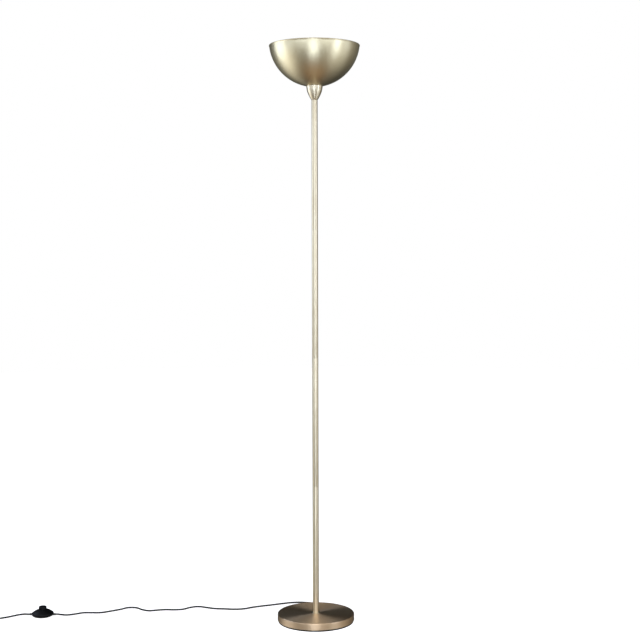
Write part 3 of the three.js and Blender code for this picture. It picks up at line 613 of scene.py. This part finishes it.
def bulb_cap():
    """The screw shell, with its thread as one rolled helical wave."""
    low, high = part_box("bulb_screw_cap")
    pitch, depth, wall = 0.003629, 0.0006, 0.0009
    rows, run_out, sides = 72, 10, MEDIUM
    start, top = low.z + 0.0045, high.z - 0.0035
    bm = bmesh.new()

    def ring(radius, height, wave=0.0):
        made = []
        for i in range(sides):
            turn = i / sides
            r = radius - wave * (0.5 - 0.5 * math.cos(TURN * ((height - start) / pitch - turn)))
            made.append(bm.verts.new((r * math.cos(TURN * turn), r * math.sin(TURN * turn), height)))
        return made

    rings = [ring(0.0089, low.z), ring(0.0097, low.z), ring(0.0121, low.z + 0.0033)]
    for k in range(rows + 1):
        height = start + (top - start) * k / rows
        fade = ease(k / run_out) * ease((rows - k) / run_out)
        rings.append(ring(high.x, height, depth * fade))
    rings += [ring(high.x, high.z - 0.0008), ring(high.x - 0.0006, high.z),
              ring(high.x - wall - 0.0004, high.z), ring(high.x - wall - 0.0003, low.z + 0.005)]
    skin(bm, rings, closed=True)
    return bm


def bulb_insulator():
    """The dark ring between the screw shell and the centre contact."""
    low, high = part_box("bulb_insulator")
    return turned(rounded([
        (0, low.z, 0), (0.005, low.z, 0.0006), (high.x, high.z, 0.0004), (0, high.z, 0)], 4), SMALL)


def bulb_tip():
    """The centre contact, a low rounded button."""
    low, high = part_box("bulb_tip_contact")
    return turned(rounded([(0, low.z, 0), (0.0036, low.z, 0.0012), (high.x, high.z - 0.0006, 0.0006),
                           (high.x, high.z, 0.0001), (0, high.z, 0)], 5), SMALL)


piece("opal_envelope", bulb_glass(), "bulb", ["bulb_glass"], LOOKS["opal"])
piece("screw_shell", bulb_cap(), "bulb", ["bulb_screw_cap"], LOOKS["nickel"])
piece("cap_insulator", bulb_insulator(), "bulb", ["bulb_insulator"], LOOKS["insulator"])
piece("centre_contact", bulb_tip(), "bulb_seat", ["bulb_tip_contact"], LOOKS["nickel"])


# ---- floor switch -------------------------------------------------------------------------------

SWITCH_LOW, SWITCH_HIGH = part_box("switch_base")
SWITCH = ((SWITCH_LOW + SWITCH_HIGH) / 2).to_2d()
SWITCH_RADIUS = (SWITCH_HIGH.x - SWITCH_LOW.x) / 2
SLEEVE_INNER = 0.0184                   # from the switch's axis to the inner end of a lead sleeve
LEAD_HOLE = 0.0036                      # radius in the housing
BUTTON_HOLE = 0.0128                    # radius in the dome


def at_switch(profile):
    """A profile turned about the switch's upright axis."""
    return turned(profile, centre=(SWITCH.x, SWITCH.y, 0))


def lead_holes():
    """Two cutting tools, one each side, that open the housing for the lead's sleeves."""
    reach = SWITCH_RADIUS + 0.005
    return [turned([(0, start), (LEAD_HOLE, start), (LEAD_HOLE, end), (0, end)], SMALL,
                   (SWITCH.x, SWITCH.y, SWITCH_HEIGHT), "X")
            for start, end in ((-reach, -SLEEVE_INNER), (SLEEVE_INNER, reach))]


def switch_tray():
    """The lower half of the housing, a shallow dish with a raised rim."""
    rim, floor = SWITCH_HIGH.z, 0.002
    profile = rounded([
        (0, 0, 0), (0.0275, 0, 0.0008), (0.029, 0.0008, 0.0008), (0.0326, 0.0031, 0.0012),
        (SWITCH_RADIUS, rim - 0.0003, 0.0003), (SWITCH_RADIUS - 0.0003, rim, 0.0001),
        (SWITCH_RADIUS - 0.002, rim, 0), (0.0296, 0.0029, 0.0006), (0.0282, floor, 0), (0, floor, 0)], 5)
    return cut(at_switch(profile), *lead_holes())


def switch_dome():
    """A shallow shell whose flanks run up nearly straight to the button's hole."""
    bottom = SWITCH_HIGH.z + 0.0003
    outer = smooth([(SWITCH_RADIUS, 0.0), (0.0332, 0.0022), (0.030, 0.0047), (0.026, 0.0074),
                    (0.020, 0.0106), (BUTTON_HOLE + 0.0002, 0.0130)], 7)
    lining = smooth([(BUTTON_HOLE, 0.0111), (0.019, 0.0089), (0.0246, 0.0061), (0.0283, 0.0037),
                     (0.0312, 0.0016), (SWITCH_RADIUS - 0.002, 0.0)], 4)
    profile = [*outer, (BUTTON_HOLE, 0.0126), *lining]
    return cut(at_switch([(r, bottom + h) for r, h in profile]), *lead_holes())


def switch_pedal():
    """The button, with a soft shoulder and low rings on its top."""
    low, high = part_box("switch_button")
    side, flange, stem, shell = 0.0122, 0.0144, 0.0022, 0.0018
    bottom, ledge, ceiling = low.z + 0.0014, low.z + 0.0026, high.z - 0.002
    rings, first, pitch, groove = 4, 0.0024, 0.0019, 0.0002
    crown = [(0, high.z - 0.0001, 0)]
    for i in range(rings):
        start = first + pitch * i
        crown += [(start, high.z - groove, 0.0002), (start + 0.0004, high.z, 0.0002),
                  (start + 0.0009, high.z, 0.0002), (start + 0.0013, high.z - groove, 0.0002)]
    outline = [(0, low.z, 0), (stem, low.z, 0.0002), (stem, ceiling, 0), (side - shell, ceiling, 0),
               (side - shell, bottom, 0), (flange, bottom, 0.0002), (flange, ledge, 0.0002),
               (side, ledge, 0.0004), (side - 0.0002, high.z - 0.003, 0),
               (side - 0.0004, high.z - 0.0009, 0.0008), (side - 0.0013, high.z - 0.0001, 0.0007)]
    return at_switch(rounded([*outline, *reversed(crown)], 5))


def switch_spring():
    """The coil under the button, four turns of round wire."""
    low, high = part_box("switch_return_spring")
    wire, turns, steps, sides = 0.0005, 4, 36, 12
    radius = (high.x - low.x) / 2 - wire
    bottom, top = low.z + wire, high.z - wire
    bm = bmesh.new()
    rings = []
    for i in range(turns * steps + 1):
        angle = TURN * i / steps
        middle = Vector((*SWITCH, bottom + (top - bottom) * i / (turns * steps)))
        out, up = Vector((math.cos(angle), math.sin(angle), 0)), Vector((0, 0, 1))
        corners = (TURN * j / sides for j in range(sides))
        rings.append([bm.verts.new(middle + out * (radius + wire * math.cos(a)) + up * (wire * math.sin(a)))
                      for a in corners])
    skin(bm, rings)
    bm.faces.new(rings[0])
    bm.faces.new(rings[-1])
    return bm


def switch_sleeve(side):
    """Tapered sleeve with two grip grooves where the lead enters the housing."""
    outer, radius, tip = 0.0396, 0.0033, 0.0032
    first, pitch, groove = SWITCH_RADIUS + 0.0012, 0.0014, 0.00016
    outline = [(FLEX_BORE, SLEEVE_INNER, 0), (radius, SLEEVE_INNER, 0.0001), (radius, first - 0.0008, 0)]
    for start in (first, first + pitch):
        outline += [(radius - groove, start - 0.0004, 0.0001), (radius - groove, start + 0.0002, 0.0001),
                    (radius, start + 0.0005, 0.0001)]
    outline += [(tip, outer, 0.0002), (FLEX_BORE, outer, 0)]
    bm = turned(rounded(outline, 3), SMALL, axis="X")
    turn = Matrix.Rotation(0 if side > 0 else TURN / 2, 4, "Z")
    place = Matrix.Translation((SWITCH.x, SWITCH.y, SWITCH_HEIGHT))
    bmesh.ops.transform(bm, matrix=place @ turn, verts=bm.verts)
    return bm


switch_pieces = [
    piece("switch_tray", switch_tray(), "root", ["switch_base"], LOOKS["switch"]),
    piece("switch_dome", switch_dome(), "root", ["switch_cover"], LOOKS["switch"]),
    piece("switch_pedal", switch_pedal(), "switch_button", ["switch_button"],
          LOOKS["switch"]),
]
for side, name in ((-1, "left"), (1, "right")):
    switch_pieces.append(piece(
        f"switch_sleeve_{name}", switch_sleeve(side), "root", [f"switch_relief_{name}"],
        LOOKS["rubber"]))
spring = piece("switch_spring", switch_spring(), "root", ["switch_return_spring"],
               LOOKS["steel"])
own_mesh(spring)
switch_pieces.append(spring)


# ---- coil tie and plug --------------------------------------------------------------------------

def tie():
    """A flat strap closed round the coil's turns."""
    low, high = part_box("coil_tie")
    width, thick = 0.006, 0.0008
    inner, outer = COIL_INNER - FLEX_RADIUS - 0.001, COIL_OUTER + FLEX_RADIUS + 0.0012

    def loop(inset):
        corner = 0.0026 - inset
        left, right, bottom, top = inner + inset, outer - inset, low.z + inset, high.z - inset
        return rounded([(left, bottom, corner), (right, bottom, corner), (right, top, corner),
                        (left, top, corner)], 6)

    bm = bmesh.new()
    rings = []
    for (r, z), (r_in, z_in) in zip(loop(0), loop(thick)):
        rings.append([bm.verts.new(co) for co in (
            (r, -width / 2, z), (r, width / 2, z), (r_in, width / 2, z_in), (r_in, -width / 2, z_in))])
    skin(bm, rings, closed=True)
    turn = Matrix.Rotation(-TURN / 12, 4, "Z")
    bmesh.ops.transform(bm, matrix=Matrix.Translation((*COIL_CENTRE, 0)) @ turn, verts=bm.verts)
    return bm


def superellipse(width, depth, power, count):
    """A rounded box outline, from an ellipse (2) to nearly square (8)."""
    points = []
    for i in range(count):
        angle = TURN * i / count
        c, s = math.cos(angle), math.sin(angle)
        points.append((math.copysign(abs(c) ** (2 / power), c) * width / 2,
                       math.copysign(abs(s) ** (2 / power), s) * depth / 2))
    return points


def plug_body():
    """A flat two-pin moulding, broad at the pin face and drawn in to a ribbed sleeve for the lead."""
    low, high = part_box("plug_body")
    width, depth = high.x - low.x, high.z - low.z
    middle = Vector(((low.x + high.x) / 2, low.y, (low.z + high.z) / 2))
    # along, width, depth and squareness of each section
    sections = [(0, width - 0.004, depth - 0.004, 5), (0.0006, width - 0.0018, depth - 0.0018, 5),
                (0.0018, width - 0.0004, depth - 0.0004, 5), (0.004, width, depth, 5),
                (0.011, width, depth, 5), (0.013, width - 0.001, depth, 5), (0.019, 0.0285, depth, 4),
                (0.026, 0.0205, 0.0128, 3), (0.031, 0.0145, 0.0114, 2.4), (0.034, 0.0112, 0.0102, 2)]
    bm = bmesh.new()

    def section(y, across, thick, power=2):
        return [bm.verts.new((middle.x + x, y, middle.z + z))
                for x, z in superellipse(across, thick, power, 64)]

    rings = [section(middle.y + along, across, thick, power)
             for along, across, thick, power in smooth(sections, 4)]
    ribs, pitch, radius, taper = 5, 0.0034, 0.0050, 0.00035
    start = sections[-1][0] + 0.001
    for i in range(ribs):
        for step, r in ((0, radius), (0.0013, radius), (0.0017, radius - 0.0008), (0.003, radius - 0.0009)):
            across = 2 * (r - taper * i)
            rings.append(section(middle.y + start + pitch * i + step, across, across))
    end, bore = high.y, FLEX_BORE
    for y, r in ((end - 0.0003, 0.0036), (end, 0.0034), (end, bore), (end - 0.007, bore)):
        rings.append(section(y, 2 * r, 2 * r))
    skin(bm, rings)
    bm.faces.new(rings[0])
    bm.faces.new(rings[-1])
    return bm


def plug_pin(name):
    """A round pin whose half next to the plug is sleeved with plastic."""
    low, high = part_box(f"plug_pin_{name}")
    centre = (low + high) / 2
    radius = (high.x - low.x) / 2
    profile = [(0, high.y, 0), (radius, high.y, 0), (radius, low.y + 0.0095, 0.0002),
               (radius - 0.0001, low.y + 0.0092, 0.0001), (radius - 0.0001, low.y + 0.0014, 0.0008),
               (radius * 0.62, low.y, 0.0007), (0, low.y, 0)]
    bm = turned([(r, y) for r, y in rounded(profile, 4)], SMALL, (centre.x, 0, centre.z), "Y")
    return bm, low.y + 0.0093


plug_pieces = [
    piece("lead_tie", tie(), "root", ["coil_tie"], LOOKS["rubber"]),
    piece("plug_moulding", plug_body(), "root", ["plug_body"], LOOKS["plug"]),
]
for name in ("left", "right"):
    pin_mesh, sleeve_from = plug_pin(name)
    pin = piece(f"pin_{name}", pin_mesh, "root", [f"plug_pin_{name}"], LOOKS["nickel"])
    pin.data.materials.append(LOOKS["plug"])
    for face in pin.data.polygons:
        face.material_index = int(face.center.y > sleeve_from)
    plug_pieces.append(pin)


# ---- carried-over frame nodes -------------------------------------------------------------------

# CAD nodes inside the lamp that are shown as they are, by look.
CARRIED = {
    "iron": ["base_weight"],
    "steel": ["base_stud", "base_washer", "base_lock_washer", "base_nut", "head_nipple", "head_locknut",
              "switch_guide_plate", "switch_screw_front", "switch_screw_rear",
              *(f"pole_insert_{i}_{end}" for i in range(1, 5) for end in ("lower", "upper"))],
    "ceramic": ["lampholder_core"],
    "contact": ["lampholder_shell", "lampholder_contact", "lampholder_screw_live",
                "lampholder_screw_neutral", "switch_contact_bridge", "switch_terminal_left",
                "switch_terminal_right"],
    "nylon": ["switch_rotor"],
    "stem": ["bulb_stem"],
    "flex": ["inner_flex"],
}
for look_name, names in CARRIED.items():
    for name in names:
        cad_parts[name].data.materials.clear()
        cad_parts[name].data.materials.append(LOOKS[look_name])


# ---- studio -------------------------------------------------------------------------------------

def stage_piece(name, bm, colour, glow):
    """A staged surface that only the camera sees, so that the metal mirrors the studio and not this."""
    mesh = bpy.data.meshes.new(name)
    bm.to_mesh(mesh)
    bm.free()
    mesh.shade_smooth()
    material = bpy.data.materials.new(name)
    material.use_nodes = True
    shader = material.node_tree.nodes["Principled BSDF"]
    for key, value in (("Base Color", (*colour, 1)), ("Roughness", 0.9), ("Specular IOR Level", 0.0),
                       ("Emission Color", (1, 1, 1, 1)), ("Emission Strength", glow)):
        shader.inputs[key].default_value = value
    mesh.materials.append(material)
    made = bpy.data.objects.new(name, mesh)
    bpy.context.scene.collection.objects.link(made)
    made.visible_glossy = made.visible_diffuse = made.visible_transmission = made.visible_shadow = False


DAYLIGHT = (0.88, 1.0, 1.22)
WATTS = 4                               # per square metre of a panel and unit of its radiance


def softbox(name, azimuth, distance, bottom, top, width, radiance):
    """An upright panel light that faces the pole. Azimuth 0 is the camera's side, 90 the right."""
    data = bpy.data.lights.new(name, "AREA")
    data.shape = "RECTANGLE"
    data.size, data.size_y = width, top - bottom
    data.energy = WATTS * width * (top - bottom) * radiance
    data.color = DAYLIGHT
    light = bpy.data.objects.new(name, data)
    bpy.context.scene.collection.objects.link(light)
    angle = math.radians(azimuth)
    light.location = (distance * math.sin(angle), -distance * math.cos(angle), (bottom + top) / 2)
    light.rotation_euler = (TURN / 4, 0, angle)
    light.visible_camera = False


ALL_ROUND = 1000                        # a spread so wide that the patch is a belt
# Soft patches of the dark room: colour, middle azimuth and elevation, and their spreads, in degrees.
SURROUNDINGS = [
    ((0.36, 0.35, 0.33), 0, 0, 45, 12),
    ((0.46, 0.43, 0.38), 90, 0, 30, 12),
    ((1.20, 1.10, 0.90), 0, 45, 40, 16),
    ((0.12, 0.11, 0.07), 0, -40, 40, 16),
    ((1.35, 1.30, 1.20), -100, -33, 27, 13),
    ((0.58, 0.56, 0.50), 78, -35, 30, 14),
    ((0.42, 0.22, 0.07), 0, -90, ALL_ROUND, 17),
    ((0.25, 0.25, 0.25), 0, 80, ALL_ROUND, 13),
    ((0.11, 0.12, 0.12), 180, 0, 40, 12),
]


def make_world():
    """The dark room that the metal mirrors, as the sum of its soft patches."""
    world = bpy.data.worlds.new("studio")
    bpy.context.scene.world = world
    world.use_nodes = True
    tree = world.node_tree
    axes = node(tree, "SeparateXYZ", {0: node(tree, "TexCoord", out="Generated")}).node.outputs
    heading = maths(tree, "ARCTAN2", axes[0], maths(tree, "MULTIPLY", axes[1], -1.0))
    rise = maths(tree, "ARCSINE", axes[2])

    def offset(angle, middle, spread):
        """Squared distance from the patch's middle in spreads, the short way round."""
        apart = node(tree, "Math", {0: maths(tree, "SUBTRACT", angle, math.radians(middle)), 1: math.pi,
                                    2: -math.pi}, operation="WRAP")
        scaled = maths(tree, "DIVIDE", maths(tree, "ABSOLUTE", apart), math.radians(spread))
        return maths(tree, "POWER", scaled, 2.0)

    total = (0.0, 0.0, 0.0)
    for colour, azimuth, elevation, spread, height in SURROUNDINGS:
        apart = maths(tree, "ADD", offset(heading, azimuth, spread), offset(rise, elevation, height))
        level = maths(tree, "EXPONENT", maths(tree, "MULTIPLY", apart, -0.5))
        glow = node(tree, "VectorMath", {0: colour, "Scale": level}, operation="SCALE")
        total = node(tree, "VectorMath", {0: total, 1: glow}, operation="ADD")
    tree.links.new(total, tree.nodes["Background"].inputs["Color"])


def make_stage():
    """A white floor just under the lamp, inside a white dome."""
    reach, radius, drop = 9.0, 8.9, 0.0002
    floor = bmesh.new()
    bmesh.ops.create_circle(floor, cap_ends=True, segments=96, radius=reach,
                            matrix=Matrix.Translation((0, 0, -drop)))
    stage_piece("studio_floor", floor, (0.8, 0.8, 0.8), 0.85)
    dome = turned([(radius, 0.0), *arc((0, 0), radius, 4, 86, 20), (0, radius)], FINE)
    stage_piece("studio_backdrop", dome, (0.0, 0.0, 0.0), 1.0)


make_world()
make_stage()
# azimuth, distance, bottom, top, width, radiance
softbox("front_low", -2, 2.6, 0.05, 0.95, 1.15, 4.1)
softbox("front_high", -2, 2.6, 1.3, 2.5, 1.5, 1.05)
softbox("front_left", -33, 2.8, 1.3, 2.6, 1.6, 1.7)
softbox("front_right", 30, 2.8, 1.3, 2.6, 1.3, 1.9)
softbox("left", -98, 2.4, 0.8, 2.5, 1.7, 1.7)
softbox("left_inner", -62, 2.5, 1.1, 2.5, 0.9, 1.0)
softbox("left_low", -80, 2.5, 0.05, 0.8, 1.0, 0.35)
softbox("right", 60, 2.5, 0.7, 2.5, 0.9, 2.1)
softbox("right_outer", 88, 2.5, 0.7, 2.5, 1.2, 0.5)
softbox("right_low", 55, 2.5, 0.05, 0.7, 1.0, 0.75)
bpy.context.scene.view_settings.view_transform = "Standard"
